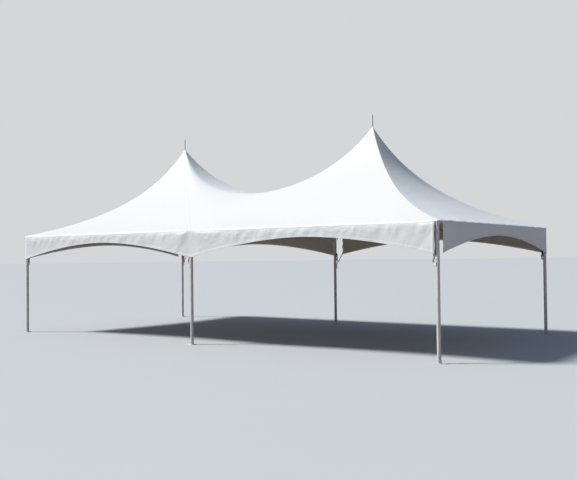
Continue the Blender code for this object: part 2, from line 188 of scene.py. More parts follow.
def studio():
    shape = bmesh.new()
    bmesh.ops.create_circle(shape, cap_ends=True, segments=96, radius=FLOOR_RADIUS)
    mesh = bpy.data.meshes.new("studio_floor")
    shape.to_mesh(mesh)
    shape.free()
    mesh.materials.append(floor_finish())
    floor = stand("studio_floor", mesh)
    floor.location.z = -0.002

    world = bpy.data.worlds.new("studio_surround")
    world.use_nodes = True
    colour = Wire(world.node_tree).node("LightPath").blend(SURROUND, BACKDROP)
    world.node_tree.links.new(colour.socket, world.node_tree.nodes["Background"].inputs["Color"])
    bpy.context.scene.world = world

    lamp = bpy.data.lights.new("studio_sun", "SUN")
    lamp.energy = SUN_STRENGTH
    lamp.angle = SUN_SPREAD
    lamp.color = SUN_COLOUR
    stand("studio_sun", lamp).rotation_euler = Vector(TO_SUN).to_track_quat("Z", "Y").to_euler()


def camera():
    lens = bpy.data.cameras.new("camera")
    lens.sensor_fit = "HORIZONTAL"
    lens.sensor_width = SENSOR
    lens.lens = FOCAL_SHARE * SENSOR
    lens.clip_end = 1000
    heading = Matrix.Rotation(-CAMERA_YAW, 4, "Z")
    tilt = Matrix.Rotation(math.pi / 2 + CAMERA_PITCH, 4, "X")
    roll = Matrix.Rotation(CAMERA_ROLL, 4, "Z")
    made = stand("camera", lens)
    made.matrix_world = Matrix.Translation(CAMERA_PLACE) @ heading @ tilt @ roll
    bpy.context.scene.camera = made


def film():
    """Tones straight up to a light grey, then a soft shoulder, so that the roof keeps its seams."""
    view = bpy.context.scene.view_settings
    view.view_transform = "Standard"
    view.use_curve_mapping = True
    view.curve_mapping.white_level = (BRIGHTEST, BRIGHTEST, BRIGHTEST)
    points = view.curve_mapping.curves[3].points
    points[0].location = (0, 0)
    points[1].location = (1, 1)
    for light, shown in SHOULDER:
        points.new(light / BRIGHTEST, shown)
    view.curve_mapping.update()


studio()
camera()
film()


# Feet
# Each leg stands in a hot-dip galvanised steel foot: a plate with rounded corners, a ring bent
# from 10 mm bar and welded on edge beside the leg, and a holed ear for a ground stake.
UP = Vector((0, 0, 1))
LEG_X = 6.096
LEG_Y = 3.048
LEGS = {                      # its end of the tent, its long side, and which way its ear points
    "front_right": (1, -1, 1), "front_middle": (0, -1, -1), "front_left": (-1, -1, -1),
    "back_right": (1, 1, 1), "back_middle": (0, 1, -1), "back_left": (-1, 1, -1),
}
PLATE_HALF = 0.076
PLATE_THICKNESS = 0.008
PLATE_CORNER = 0.010
PLATE_EDGE = 0.0015
EAR_TIP = 0.165
EAR_HALF = 0.030
EAR_ROOT = 0.006
STAKE_HOLE = (0.135, 0, 0.013)
RING_MIDDLE = (0.078, 0.040)  # from the leg axis, and its height
RING_RADIUS = 0.030
RING_BAR = 0.005
WELD = 0.0028
WELD_STEP = 0.002
ZINC = (0.72, 0.73, 0.74)
ZINC_PALE = (0.88, 0.89, 0.90)
ZINC_DULL = (0.50, 0.51, 0.52)
SOIL = (0.20, 0.165, 0.12)


def galvanised():
    """Zinc crystals of 5 to 15 mm, dull bloom and a little soil near the ground."""
    finish, place = new_finish("galvanised_steel")
    tone = place.node("TexVoronoi", {}, {"Vector": place, "Scale": 110.0}, output=1).axis("X")
    bloom = place.noise(18.0, 4.0).between(0.45, 0.75)
    soil = (1 - place.axis("Z").between(0.0, 0.07)) * place.noise(60.0, 3.0).between(0.35, 0.7)
    colour = tone.blend(ZINC, ZINC_PALE)
    colour = (0.6 * bloom).blend(colour, ZINC_DULL)
    colour = (0.5 * soil).blend(colour, SOIL)
    rough = 0.34 + 0.16 * tone + 0.2 * bloom + 0.2 * soil
    pits = place.noise(700.0)
    return apply(finish, colour, rough, (pits + 0.4 * tone).bump(0.25, 0.0006), metallic=0.4)


GALVANISED = galvanised()


def new_piece(name, shape, finish, replaces=None):
    """Makes a drawn shape into a piece of the tent, smooth but for its real edges."""
    bmesh.ops.recalc_face_normals(shape, faces=shape.faces[:])
    mesh = bpy.data.meshes.new(name)
    shape.to_mesh(mesh)
    shape.free()
    mesh.shade_smooth()
    mesh.set_sharp_from_angle(angle=math.radians(35))
    mesh.materials.append(finish)
    piece = stand(name, mesh)
    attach(piece, "root")
    if replaces:
        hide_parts(replaces)


def join_rings(shape, one, other):
    """Faces between two closed rows of points, or between a row and a single point."""
    count = max(len(one), len(other))
    for i in range(count):
        k = (i + 1) % count
        corners = (one[i % len(one)], one[k % len(one)], other[k % len(other)], other[i % len(other)])
        shape.faces.new(dict.fromkeys(corners))


def moved_in(loop, amount):
    """A closed outline moved to its left, which is inwards where it runs anticlockwise."""
    moved = []
    for number, point in enumerate(loop):
        ahead = (loop[(number + 1) % len(loop)] - loop[number - 1]).normalized()
        moved.append(point + Vector((-ahead.y, ahead.x)) * amount)
    return moved


def rounded(corners, steps=6):
    """An outline through corners of (x, y, radius), run anticlockwise."""
    points = []
    for number, (x, y, radius) in enumerate(corners):
        here = Vector((x, y))
        before = (Vector(corners[number - 1][:2]) - here).normalized()
        after = (Vector(corners[(number + 1) % len(corners)][:2]) - here).normalized()
        half = before.angle(after) / 2
        middle = here + (before + after).normalized() * (radius / math.sin(half))
        start = here + before * (radius / math.tan(half)) - middle
        end = here + after * (radius / math.tan(half)) - middle
        for step in range(steps + 1):
            points.append(middle + start.lerp(end, step / steps).normalized() * radius)
    return points


def on_circle(x, y, radius, angle):
    return Vector((x + radius * math.cos(angle), y + radius * math.sin(angle)))


def arc(x, y, radius, start, end, steps):
    """Points round part of a circle."""
    return [on_circle(x, y, radius, start + (end - start) * step / steps) for step in range(steps + 1)]


def disc(radius, sides=32, middle=(0, 0), way=1):
    """Points round a circle, anticlockwise, or clockwise for a hole."""
    return arc(*middle, radius, 0, way * 2 * math.pi, sides)[:-1]


def add_plate(shape, outline, holes, thickness, place, edge=0.0008):
    """A flat plate with softened edges, from its outline and its round holes (x, y, radius)."""
    rims = ([], [])
    for loop in [outline] + [disc(radius, middle=(x, y), way=-1) for x, y, radius in holes]:
        rows = []
        for inward, height in ((edge, 0), (0, edge), (0, thickness - edge), (edge, thickness)):
            row = [place @ Vector((*point, height)) for point in moved_in(loop, inward)]
            rows.append([shape.verts.new(point) for point in row])
        for one, other in zip(rows, rows[1:]):
            join_rings(shape, one, other)
        for rim, row in zip(rims, (rows[0], rows[-1])):
            rim += [shape.edges.get((row[i - 1], row[i])) for i in range(len(row))]
    for rim in rims:
        bmesh.ops.triangle_fill(shape, use_beauty=True, edges=rim)


def sweep(shape, path, section, side, closed=False, twist=lambda off: 0, swell=lambda off: 1):
    """Carries a section of (side, up) points along a path, with a turn or a swelling on the way."""
    path = [Vector(point) for point in path]
    side = Vector(side)
    along = shape.verts.layers.float.get("along")
    across = shape.verts.layers.float.get("across")
    rows = []
    travelled = 0
    for number, point in enumerate(path):
        ends = (path[number - 1] if number or closed else point,
                path[(number + 1) % len(path)] if number < len(path) - 1 or closed else point)
        ahead = (ends[1] - ends[0]).normalized()
        side = (side - ahead * side.dot(ahead)).normalized()
        up = ahead.cross(side)
        travelled += (point - path[number - 1]).length if number else 0
        turned = Matrix.Rotation(twist(travelled), 2) * swell(travelled)
        row = []
        for spot in section:
            a, b = turned @ Vector(spot)
            vert = shape.verts.new(point + side * a + up * b)
            if along:
                vert[along] = travelled
                vert[across] = spot[0]
            row.append(vert)
        rows.append(row)
    for one, other in zip(rows, rows[1:] + rows[:1] * closed):
        join_rings(shape, one, other)
    if not closed:
        shape.faces.new(rows[0])
        shape.faces.new(rows[-1])


def weld(shape, path, closed=False):
    """A bead of weld, laid in short lumps."""
    sweep(shape, path, disc(WELD, 8), (0.31, 0.52, 0.79), closed,
          swell=lambda off: 1 + 0.16 * math.sin(off * 1050))


def weld_both_sides(shape, place, middle, along, aside, steps):
    """Two straight beads through a middle, each moved aside to its face of a plate or a bar."""
    for face in (-1, 1):
        start = Vector(middle) + Vector(aside) * face
        bead = [start + Vector(along) * WELD_STEP * step for step in range(-steps, steps + 1)]
        weld(shape, [place @ point for point in bead])


def on_leg(sx, sy, z=0.0):
    """A point on the axis of the leg at these sides of the tent."""
    return Vector((sx * LEG_X, sy * LEG_Y, z))


def foot(label):
    sx, sy, ear = LEGS[label]
    shape = bmesh.new()
    place = Matrix.Translation(on_leg(sx, sy)) @ Matrix.Rotation(0 if ear > 0 else math.pi, 4, "Z")
    h, e, nose = PLATE_HALF, EAR_HALF, EAR_HALF - 0.0001
    corners = [(-h, -h, PLATE_CORNER), (h, -h, PLATE_CORNER), (h, -e, EAR_ROOT), (EAR_TIP, -e, nose),
               (EAR_TIP, e, nose), (h, e, EAR_ROOT), (h, h, PLATE_CORNER), (-h, h, PLATE_CORNER)]
    add_plate(shape, rounded(corners, 8), [STAKE_HOLE], PLATE_THICKNESS, place, PLATE_EDGE)
    ring = [place @ Vector((point.x, 0, point.y)) for point in disc(RING_RADIUS, 48, RING_MIDDLE)]
    sweep(shape, ring, disc(RING_BAR, 14), (0, 1, 0), closed=True)
    under_ring = (RING_MIDDLE[0], 0, PLATE_THICKNESS + 0.001)
    weld_both_sides(shape, place, under_ring, (1, 0, 0), (0, RING_BAR, 0), 7)
    new_piece("foot_plate_" + label, shape, GALVANISED, "foot_" + label)


for label in LEGS:
    foot(label)


# Legs
# Round 3 inch tubes of mill-finish extruded aluminium, slid over the feet's stubs and the
# spigots of the top fittings, and bolted through at both ends.
LEG_RADIUS = 0.0381
LEG_WALL = 0.0032
LEG_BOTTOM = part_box("leg_front_right")[0][2]
LEG_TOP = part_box("leg_front_right")[1][2]
TUBE_EDGE = 0.0006
FOOT_BOLT_Z = 0.055
TOP_BOLT_DOWN = 0.035
BOLT = 0.0095                 # half the width of a bolt's head across its corners
WASHER = 0.0022
THREAD = 0.005                # that stands out of a nut
ALUMINIUM_PALE = (0.85, 0.85, 0.84)
ALUMINIUM_DULL = (0.64, 0.64, 0.63)


def aluminium(name, along):
    """Die lines along the tube, cloudy oxide, scuffs across it and splashed soil near the ground."""
    finish, place = new_finish(name)
    stretch = [70.0, 70.0, 70.0]
    stretch["XYZ".index(along)] = 0.9
    lines = place.scaled(*stretch).noise(6.0, 3.0, 0.6)
    cloud = place.noise(7.0, 4.0, 0.6)
    scuffs = place.noise(45.0, 5.0, 0.7).between(0.60, 0.74)
    soil = (1 - place.axis("Z").between(0.02, 0.45)) * place.noise(25.0, 4.0).between(0.4, 0.75)
    colour = (0.55 * lines + 0.45 * cloud).between(0.3, 0.72).blend(ALUMINIUM_DULL, ALUMINIUM_PALE)
    colour = (0.35 * scuffs).blend(colour, (0.78, 0.78, 0.77))
    colour = (0.45 * soil).blend(colour, SOIL)
    rough = 0.42 + 0.12 * cloud + 0.12 * lines + 0.15 * scuffs + 0.2 * soil
    dents = place.noise(11.0, 1.0).bump(0.10, 0.004)
    return apply(finish, colour, rough, (lines + 0.3 * scuffs).bump(0.2, 0.0005, dents), metallic=0.28)


LEG_FINISH = aluminium("leg_aluminium", "Z")


def aim(at, towards):
    """The place that stands at a point with its Z towards another."""
    at = Vector(at)
    return Matrix.Translation(at) @ (Vector(towards) - at).to_track_quat("Z", "Y").to_matrix().to_4x4()


def turn(shape, profile, place, sides=32, closed=False):
    """A profile of (radius, height) points turned about the place's Z; closed joins its two ends."""
    rings = []
    for radius, height in profile:
        spots = disc(radius, sides) if radius else [Vector((0, 0))]
        rings.append([shape.verts.new(place @ Vector((*spot, height))) for spot in spots])
    for one, other in zip(rings, rings[1:] + rings[:1] * closed):
        join_rings(shape, one, other)


def add_tube(shape, radius, wall, start, end):
    length = (Vector(end) - Vector(start)).length
    bore = radius - wall
    profile = [(radius - TUBE_EDGE, 0), (radius, TUBE_EDGE), (radius, length - TUBE_EDGE),
               (radius - TUBE_EDGE, length), (bore, length), (bore, 0)]
    turn(shape, profile, aim(start, end), 72, closed=True)


def rod(shape, place, radius, low, high, sides, edge=0.0):
    """A round bar along the place's Z, its ends softened by edge."""
    rims = [(radius, low), (radius, high)]
    if edge:
        rims = [(radius - edge, low), (radius, low + edge), (radius, high - edge), (radius - edge, high)]
    turn(shape, [(0, low), *rims, (0, high)], place, sides)


def bolt(shape, at, out, thread=0.0):
    """A hexagon head on a washer, or a nut where some thread stands out of it."""
    place = aim(at, Vector(at) + Vector(out))
    rod(shape, place, 1.2 * BOLT, -0.004, WASHER, 28)
    w, r, top = WASHER, BOLT, WASHER + 0.68 * BOLT
    turn(shape, [(0, w), (r, w), (r, top - 0.0012), (0.84 * r, top), (0, top)], place, 6)
    if thread:
        r, end = 0.5 * BOLT, top + thread
        turn(shape, [(0, w), (r, w), (r, end - 0.001), (0.8 * r, end), (0, end)], place, 16)


def leg(label):
    sx, sy, _ = LEGS[label]
    shape = bmesh.new()
    add_tube(shape, LEG_RADIUS, LEG_WALL, on_leg(sx, sy, LEG_BOTTOM), on_leg(sx, sy, LEG_TOP))
    new_piece("leg_tube_" + label, shape, LEG_FINISH, "leg_" + label)

    bolts = bmesh.new()
    inward = Vector((-sx, -sy, 0)).normalized()
    high = on_leg(sx, sy, LEG_TOP - TOP_BOLT_DOWN)
    bolt(bolts, high + inward * LEG_RADIUS, inward, THREAD)
    if sx:
        bolt(bolts, high - inward * LEG_RADIUS, -inward)
    for way, thread in ((-1, 0), (1, THREAD)):
        out = Vector((0, way, 0))
        bolt(bolts, on_leg(sx, sy, FOOT_BOLT_Z) + out * LEG_RADIUS, out, thread)
    new_piece("leg_bolts_" + label, bolts, GALVANISED)


for label in LEGS:
    leg(label)


# Top fittings
# Galvanised steel hubs on the legs' tops: a spigot goes down the leg and one into each eave tube
# that meets there, welded on, and a drilled lug stands out below the tubes for each mast cable.
EAVE_AXIS_Z = (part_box("eave_tube_end_right")[0][2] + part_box("eave_tube_end_right")[1][2]) / 2
HUB_LOW = LEG_TOP + 0.0003
HUB_HIGH = 2.6077
HUB_EDGE = 0.002
ARM_RADIUS = 0.0285
ARM_REACH = 0.148
LUG_Z = LEG_TOP + 0.0253
LUG_HALF = 0.025
LUG_THICKNESS = 0.008
LUG_HOLE = LEG_RADIUS + 0.055  # from the leg axis to the hole's middle
PAST_HOLE = 0.020             # from there to the lug's tip
PIN_HOLE = 0.007
MAST_X = 3.048
BOLTED_FACES = {"front_right": -1, "back_middle": 1, "back_left": 1}


def welded_lug(shape, at, towards, radius, half, hole, weld_at, steps):
    """A drilled plate on edge, welded to a round body of this radius and pointing a level way."""
    along = towards.normalized()
    axes = Matrix((along, UP, along.cross(UP))).transposed().to_4x4()
    place = Matrix.Translation(at) @ axes
    root, tip = radius - 0.006, hole + PAST_HOLE
    corners = [(root, -half, 0.001), (tip, -half, 0.014), (tip, half, 0.014), (root, half, 0.001)]
    middle = Matrix.Translation((0, 0, -LUG_THICKNESS / 2))
    add_plate(shape, rounded(corners, 5), [(hole, 0, PIN_HOLE)], LUG_THICKNESS, place @ middle)
    weld_both_sides(shape, place, (weld_at, 0, 0), (0, 1, 0), UP * LUG_THICKNESS / 2, steps)


def hub(label):
    sx, sy, _ = LEGS[label]
    shape = bmesh.new()
    r = LEG_RADIUS
    rod(shape, Matrix.Translation(on_leg(sx, sy)), r, HUB_LOW, HUB_HIGH, 72, HUB_EDGE)
    at = on_leg(sx, sy, EAVE_AXIS_Z)
    for dx, dy in ([(-sx, 0), (0, -sy)] if sx else [(1, 0), (-1, 0), (0, -sy)]):
        arm = Vector((dx, dy, 0))
        beside = Vector((-dy, dx, 0))
        start = at + arm * (r - 0.012)
        rod(shape, aim(start, start + arm), ARM_RADIUS, 0, ARM_REACH - r, 48)
        bead = []
        for spot in disc(ARM_RADIUS + 0.0005, 90):
            level = min(HUB_HIGH - 0.001 - EAVE_AXIS_Z, spot.y)
            bead.append(at + arm * math.sqrt(r * r - spot.x ** 2) + beside * spot.x + UP * level)
        weld(shape, bead, closed=True)
    on_curve = math.sqrt(r * r - (LUG_THICKNESS / 2) ** 2)
    for side in ([sx] if sx else [1, -1]):
        towards = Vector((side * MAST_X, 0, 0)) - on_leg(sx, sy)
        welded_lug(shape, on_leg(sx, sy, LUG_Z), towards, r, LUG_HALF, LUG_HOLE, on_curve, 11)
    if label in BOLTED_FACES:
        out = Vector((0, BOLTED_FACES[label], 0))
        bolt(shape, at + out * r, out)
    new_piece("hub_" + label, shape, GALVANISED, "fitting_" + label)


for label in LEGS:
    hub(label)


# Eave tubes
# Straight aluminium tubes of 2.5 inch between the hubs, four along the long sides, one at each
# end and one across the middle, each screwed from beneath to the spigots at its ends.
EAVE_RADIUS = 0.03175
EAVE_WALL = 0.0029
TUBE_GAP = 0.004              # from a hub to a tube's end
SCREW_AT = 0.10
EAVE_RUNS = {                 # the two legs it joins, each by its end of the tent and long side
    "eave_tube_front_right": ((0, -1), (1, -1)),
    "eave_tube_front_left": ((-1, -1), (0, -1)),
    "eave_tube_back_right": ((0, 1), (1, 1)),
    "eave_tube_back_left": ((-1, 1), (0, 1)),
    "eave_tube_end_right": ((1, -1), (1, 1)),
    "eave_tube_end_left": ((-1, -1), (-1, 1)),
    "cross_tube_middle": ((0, -1), (0, 1)),
}
LENGTHWISE = aluminium("eave_aluminium_lengthwise", "X")
CROSSWISE = aluminium("eave_aluminium_across", "Y")


def eave_tubes():
    screws = bmesh.new()
    for name, ends in EAVE_RUNS.items():
        start, end = [on_leg(*sides, EAVE_AXIS_Z) for sides in ends]
        along = (end - start).normalized()
        clear = along * (LEG_RADIUS + TUBE_GAP)
        shape = bmesh.new()
        add_tube(shape, EAVE_RADIUS, EAVE_WALL, start + clear, end - clear)
        finish = LENGTHWISE if along.x else CROSSWISE
        new_piece(name.replace("tube", "pipe"), shape, finish, name)
        for at in (start + along * SCREW_AT, end - along * SCREW_AT):
            bolt(screws, at - UP * EAVE_RADIUS, -UP)
    new_piece("eave_screws", screws, GALVANISED)


eave_tubes()


# Mast cables
# Wire ropes of 10 mm from the four corners of each bay to lugs on a steel cup in its middle, which
# carries the mast. Each ends in a thimble and a pressed sleeve: a shackle holds one end to the
# hub's lug, and a turnbuckle draws the other towards the cup.
BAYS = {"right": 1, "left": -1}  # which side of the middle each bay is on
CUP_BASE = 2.44
CUP_RADIUS = 0.055
CUP_HEIGHT = 0.05
CUP_FLOOR = 0.016
CUP_BORE = 0.0257
CUP_MIDDLE = CUP_BASE + CUP_HEIGHT / 2
CUP_EDGE = 0.002
CUP_LUG_HALF = 0.018
CUP_LUG_HOLE = 0.083          # from the mast's axis to the hole's middle
ROPE_RADIUS = 0.005
ROPE_VALLEY = 0.004           # its radius between two strands
ROPE_LAY = 0.085
ROPE_STEP = 0.006
ROPE_STRANDS = 6
SHACKLE_BAR = 0.0045
SHACKLE_HALF = 0.0115
SHACKLE_REACH = 0.040         # from its pin to the middle of its bow
SHACKLE_EYE = 0.008
LOOP_MIDDLE = 0.0435          # from the pin to the middle of the rope's eye
LOOP_RADIUS = 0.016
STRAND_HALF = 0.0052          # half the distance between rope and tail in the sleeve
SLEEVE = (0.092, 0.032)       # how far from the pin it starts, and its length
TAIL_END = 0.128
BUCKLE_PIN = 0.270            # from the lug's hole to the pin of the turnbuckle's far end
STUD = 0.055                  # length of thread that shows
THREAD_PITCH = 0.002
BOSS = [(0, 0), (0.0095, 0), (0.0115, 0.004), (0.0115, 0.020), (0.0095, 0.024), (0, 0.024)]


def steel_rope():
    """Bright wires in dull grease."""
    finish, place = new_finish("steel_rope")
    grime = place.noise(35.0, 4.0, 0.6).between(0.4, 0.7)
    wires = place.noise(900.0, 2.0)
    colour = grime.blend((0.52, 0.53, 0.54), (0.24, 0.235, 0.23))
    return apply(finish, colour, 0.32 + 0.3 * grime, wires.bump(0.35, 0.0005), metallic=0.85)


def dark_steel():
    """Turned steel, blackened and rubbed bright in places."""
    finish, place = new_finish("dark_steel")
    stain = place.noise(30.0, 4.0)
    rubbed = place.noise(120.0, 3.0).between(0.62, 0.75)
    colour = stain.between(0.35, 0.7).blend((0.045, 0.047, 0.05), (0.10, 0.10, 0.10))
    colour = (0.5 * rubbed).blend(colour, (0.30, 0.30, 0.30))
    return apply(finish, colour, 0.38 + 0.25 * stain, place.noise(500.0).bump(0.2, 0.0005), metallic=0.8)


ROPE_FINISH = steel_rope()
DARK_STEEL = dark_steel()


def shackle(shape, at, run, pinned):
    """A U of round bar round a point, its bow along run; pinned, it has eyes and a bolt through them."""
    across = UP.cross(run).normalized()
    straight = SHACKLE_REACH - SHACKLE_HALF
    ends = [straight * step / 4 for step in range(4)]
    bow = [(-SHACKLE_HALF, end) for end in ends] + arc(0, straight, SHACKLE_HALF, math.pi, 0, 12)
    bow += [(SHACKLE_HALF, end) for end in reversed(ends)]
    sweep(shape, [at + across * aside + run * off for aside, off in bow], disc(SHACKLE_BAR, 10), UP)
    half = SHACKLE_HALF + 0.005
    if not pinned:
        rod(shape, aim(at, at + across), SHACKLE_EYE, -half, half, 20)
        return
    for way in (-across, across):
        rod(shape, aim(at + way * (SHACKLE_HALF - 0.0045), at + way), SHACKLE_EYE, 0, 0.009, 20)
        nut = [(0, 0), (0.0068, 0), (0.0068, 0.0042), (0.0055, 0.005), (0, 0.005)]
        turn(shape, nut, aim(at + way * (half - 0.001), at + way), 6)
    rod(shape, aim(at, at + across), SHACKLE_BAR, -half, half, 16)


def rope_end(hardware, at, run, lift):
    """Thimble and sleeve of a rope that leaves at along run; gives the rope's points from its tail."""
    branch = Vector((0.09, STRAND_HALF))
    nearby = branch - Vector((LOOP_MIDDLE, 0))
    touch = math.atan2(nearby.y, nearby.x) + math.acos(LOOP_RADIUS / nearby.length)
    eye = arc(LOOP_MIDDLE, 0, LOOP_RADIUS, touch, 2 * math.pi - touch, 12)
    side = [Vector((off, STRAND_HALF)) for off in (TAIL_END, 0.118, 0.109, 0.099)]
    side += [branch.lerp(eye[0], step / 4) for step in range(4)]
    spots = side + eye + [Vector((spot.x, -spot.y)) for spot in reversed(side)]
    points = [at + run * spot.x + lift * spot.y for spot in spots]

    across = lift.cross(run)
    low, high = math.radians(10), math.radians(170)
    groove = arc(0, 0, 0.0068, low, high, 8) + arc(0, 0, 0.0053, high, low, 8)
    sweep(hardware, points[6:-6], groove, across)
    start, length = SLEEVE
    middle = [at + run * (start + length * step / 16) for step in range(17)]
    oval = [(0.0072 * x, 0.0120 * y) for x, y in disc(1, 20)]

    def pressed(off):
        return 0.9 if min(off, length - off) < 0.001 else 1 + 0.05 * math.sin(off * 780)

    sweep(hardware, middle, oval, across, swell=pressed)
    return points


def turnbuckle(shape, at, run, lift):
    """Jaw on a lug's pin, threaded stud, open body, stud, and an eye at the far end."""
    shackle(shape, at, run, pinned=True)
    shackle(shape, at + run * BUCKLE_PIN, run, pinned=False)
    crests = []
    for step in range(round(STUD / THREAD_PITCH)):
        crests += [(0.0062, THREAD_PITCH * step), (0.0054, THREAD_PITCH * (step + 0.5))]
    stud = [(0, 0), *crests, (0, STUD)]
    parts = ((0.038, stud, 14), (0.212, stud, 14), (0.078, BOSS, 24), (0.208, BOSS, 24))
    for off, outline, sides in parts:
        turn(shape, outline, aim(at + run * off, at + run), sides)
    for face in (-1, 1):
        bowed = [0.0095] + [0.0125] * 8 + [0.0095]
        path = [at + run * (0.082 + 0.016 * step) + lift * face * out for step, out in enumerate(bowed)]
        sweep(shape, path, disc(0.0048, 10), lift)


def mast_cup(shape, centre):
    r, b = CUP_RADIUS, CUP_BORE
    e, top = CUP_EDGE, CUP_HEIGHT
    outline = [(0, 0), (r - e, 0), (r, e), (r, top - e), (r - e, top), (b + e, top), (b, top - e),
               (b, CUP_FLOOR), (0, CUP_FLOOR)]
    turn(shape, outline, Matrix.Translation(centre + UP * CUP_BASE), 64)


def mast_cables(bay):
    ropes, hardware, cup = bmesh.new(), bmesh.new(), bmesh.new()
    side = BAYS[bay]
    centre = Vector((side * MAST_X, 0, 0))
    mast_cup(cup, centre)
    strands = []
    for strand in range(ROPE_STRANDS):
        for lead, reach in ((-0.18, ROPE_RADIUS), (0.18, ROPE_RADIUS), (0.5, ROPE_VALLEY)):
            angle = 2 * math.pi * (strand + lead) / ROPE_STRANDS
            strands.append(on_circle(0, 0, reach, angle))
    for sx in (0, side):
        for sy in (-1, 1):
            away = (on_leg(sx, sy) - centre).normalized()
            at = centre + UP * CUP_MIDDLE
            welded_lug(cup, at, away, CUP_RADIUS, CUP_LUG_HALF, CUP_LUG_HOLE, CUP_RADIUS, 8)
            near = on_leg(sx, sy, LUG_Z) - away * LUG_HOLE
            far = at + away * CUP_LUG_HOLE
            run = (far - near).normalized()
            lift = run.cross(UP.cross(run)).normalized()
            shackle(hardware, near, run, pinned=True)
            turnbuckle(hardware, far, -run, lift)
            far -= run * BUCKLE_PIN
            start = rope_end(hardware, near, run, lift)
            end = rope_end(hardware, far, -run, lift)
            length = (far - near).length
            straight = []
            count = round((length - 2 * TAIL_END) / ROPE_STEP)
            for step in range(1, count):
                t = TAIL_END + (length - 2 * TAIL_END) * step / count
                aside = max(0, 1 - (min(t, length - t) - TAIL_END) / 0.15)
                straight.append(near + run * t - lift * STRAND_HALF * aside)
            sweep(ropes, start + straight + end[::-1], strands, lift.cross(run),
                  twist=lambda off: 2 * math.pi * off / ROPE_LAY)
    new_piece("mast_ropes_" + bay, ropes, ROPE_FINISH, "mast_cables_" + bay)
    new_piece("cable_hardware_" + bay, hardware, GALVANISED, "mast_cables_" + bay)
    new_piece("mast_cup_" + bay, cup, GALVANISED, "mast_cables_" + bay)


for bay in BAYS:
    mast_cables(bay)


# Masts
# Two-inch aluminium tubes that stand in the cups. A plug closes each at its top, and a dark turned
# steel pin, screwed into the plug, passes through the sheet and stands above the peak.
MAST_RADIUS = 0.0254
MAST_WALL = 0.0032
MAST_PLUG = 0.05
MAST_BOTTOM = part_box("mast_right")[0][2]
MAST_SHOULDER = 4.9346
PIN_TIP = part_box("mast_right")[1][2]
PIN_RADIUS = 0.008
PIN_COLLAR = 0.015


def mast(bay):
    place = Matrix.Translation((BAYS[bay] * MAST_X, 0, 0))
    low, high = MAST_BOTTOM, MAST_SHOULDER
    r, e, bore = MAST_RADIUS, TUBE_EDGE, MAST_RADIUS - MAST_WALL
    tube = bmesh.new()
    turn(tube, [(0, high), (r - 0.004, high), (r, high - 0.004), (r, low + e), (r - e, low), (bore, low),
                (bore, high - MAST_PLUG), (0, high - MAST_PLUG)], place, 60)
    new_piece("mast_tube_" + bay, tube, LEG_FINISH, "mast_" + bay)
    pin = bmesh.new()
    p, tip, collar, foot_z = PIN_RADIUS, PIN_TIP, high + 0.0103, high + 0.0003
    turn(pin, [(0, tip), (0.3 * p, tip - 0.002), (0.5 * p, tip - 0.008), (p, tip - 0.048),
               (p, collar), (PIN_COLLAR, collar), (PIN_COLLAR, foot_z), (0, foot_z)], place, 32)
    new_piece("mast_pin_" + bay, pin, DARK_STEEL, "mast_" + bay)


for bay in BAYS:
    mast(bay)


# The sheet
# One tent top of white PVC-coated polyester, welded from panels: doubled seams run down the hips
# from each peak, the sheet folds over the eave tubes, and its valance hangs below in arches with
# a doubled hem. The valance is slit at two corners and behind the back middle leg.
EAVE_Z = 2.616
SHEET_DROP = 0.0055           # of the thin sheet, so that it lies on the tubes
PEAK_Z = 5.05
SADDLE_Z = 3.60
STEEPNESS = 1.8
SADDLE_SOFTNESS = 0.5
HALF_X = 6.1384
HALF_Y = 3.0904
RISE = PEAK_Z - EAVE_Z
CAP_HOLE = 0.014              # half width of the sheet's hole for the mast's pin
EAVE_FOLD = 0.038             # radius of the fold over the eave tubes
LEG_FOLD = 0.015              # and over the top fittings
SEAM_HALF = 0.030             # half width of a hip seam, square to it
SEAM_RISE = 0.0018            # of the doubled seam
HEM_RISE = 0.0010
STITCHED = (1.06, 0.98, 0.86, 0.3, 0.125, 0.0)  # rows of the hem, as shares of its depth
SEAM_PALE_AND_HIGHLIGHT = 1.07                # how much paler the seam band is painted: partly the doubled sheet, partly a painted highlight along the hips
CORNER_PULL = 0.006           # how far a closed corner is rounded in
SHEET_THICKNESS = 0.0015
WELDED_WITHIN = 0.0004        # points of two gores this near are one
VALANCE_AT_LEGS = 0.64
VALANCE_MID_BAY = 0.24
VALANCE_ARCH = 1.8
HEM = 0.032
FURTHEST_OUT = 0.033          # that the valance's folds may stand out
FINEST = 120                  # columns across one face of the roof, at the eaves
SEAM_COLUMNS = (0.0, 0.93, 1.0, 1.12)
PEAK_ROWS = (CAP_HOLE, 0.026, 0.040)  # half widths of the rows above the seams' own columns
SEAMS_FROM = 0.056            # and where those start
# share of the way from peak to eaves where the columns double, the rows up to there, and the
# number of finest columns that each column there spans
ROW_GROUPS = [(0.20, 12, 8), (0.45, 10, 4), (0.80, 14, 2), (1 - EAVE_FOLD / HALF_Y, 15, 1)]
FOLD_ROWS = 5
SHEET_MARKS = ("from_seam", "from_hem", "spread", "fall")  # what the finish reads at each point
VALANCE_ROWS = 13
SLIT_FRONT = 0.068            # canopy corner to the valance beside a slit
SLIT_BACK = 0.1824
SLIT_END = 0.1624
SLIT_MIDDLE_RIGHT = 0.22
SLIT_MIDDLE_LEFT = 0.04
VINYL_WHITE = (0.86, 0.865, 0.87)
# Painted shade: the sheet's inside is white like its outside, but it is coloured a darker, warmer grey
# for the shade under the roof and the warm light bounced up to it.
VINYL_INSIDE_PAINTED_SHADE = (0.59, 0.58, 0.515)


